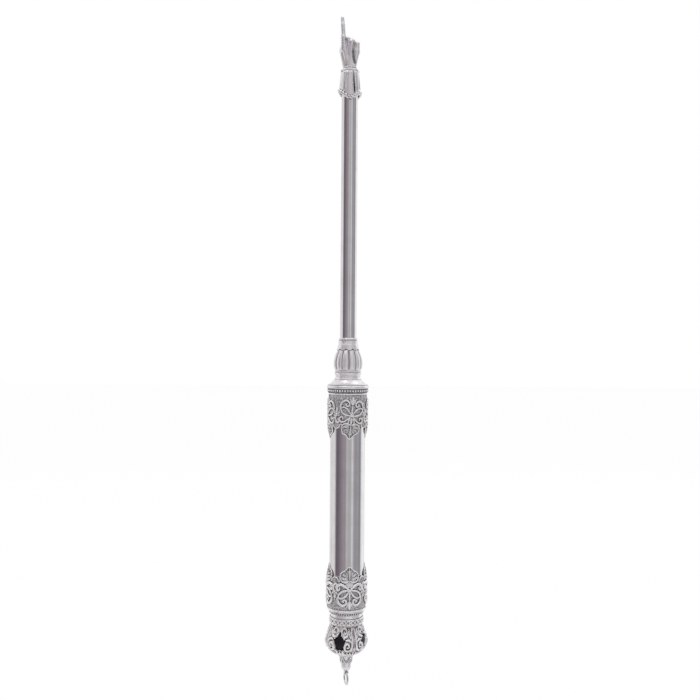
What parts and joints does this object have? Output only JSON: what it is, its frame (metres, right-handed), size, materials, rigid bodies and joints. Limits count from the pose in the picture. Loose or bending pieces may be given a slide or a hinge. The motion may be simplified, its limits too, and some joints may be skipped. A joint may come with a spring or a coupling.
{
  "type": "torah pointer",
  "caption": "Silver ritual pointer with a small pointing hand, slim shaft, round handle between ornamented collars, openwork crown and hanging ring.",
  "frame": {"origin": "on the shaft axis, at the middle of the handle tube", "axes": "+Z along the shaft to the fingertip, +X to the side of the thumb seen from the palm, -Y out of the back of the hand"},
  "size_m": [0.017, 0.017, 0.2672],
  "materials": {
    "polished_silver": "polished",
    "cast_silver": "polished cast relief with darkened recesses",
    "granulated_silver": "stippled ground, darkened",
    "dark_core": "blackened",
    "inner_brass": "turned"
  },
  "bodies": {
    "pointer": {"pointing_hand": "cast_silver", "upper_frill": "cast_silver", "lower_frill": "cast_silver", "sleeve_cuff": "cast_silver", "hem_rope": "cast_silver", "shaft_bush": "inner_brass", "shaft_tube": "polished_silver", "shaft_foot_ring": "polished_silver", "calyx_cup": "cast_silver", "gadrooned_bulb": "cast_silver", "shaft_ferrule": "inner_brass", "neck_collar": "cast_silver", "flared_cap": "cast_silver", "upper_rim": "polished_silver", "upper_bead_ring": "cast_silver", "upper_thin_ring": "cast_silver", "upper_collar": "granulated_silver", "upper_ornaments": "cast_silver", "upper_sprigs": "cast_silver", "upper_end_disc": "inner_brass", "handle_tube": "polished_silver", "lower_end_disc": "inner_brass", "lower_collar": "granulated_silver", "lower_ornaments": "cast_silver", "lower_sprigs": "cast_silver", "lower_rim": "cast_silver", "lower_bead_ring": "cast_silver", "crown_band": "cast_silver", "band_frieze": "cast_silver", "crown_cage": "cast_silver", "crown_core": "dark_core", "finial_cup": "cast_silver", "finial_leaves": "cast_silver", "finial_acorn": "cast_silver", "tie_rod": "inner_brass", "rod_nuts": "inner_brass", "rod_washers": "inner_brass"},
    "ring": {"hanging_ring": "polished_silver"}
  },
  "joints": [
    {"name": "ring_swing", "type": "hinge", "parent": "pointer", "child": "ring", "pos_m": [0, 0, -0.0688], "axis": [-0.2756, 0.9613, 0], "range_deg": [-130, 130]}
  ]
}
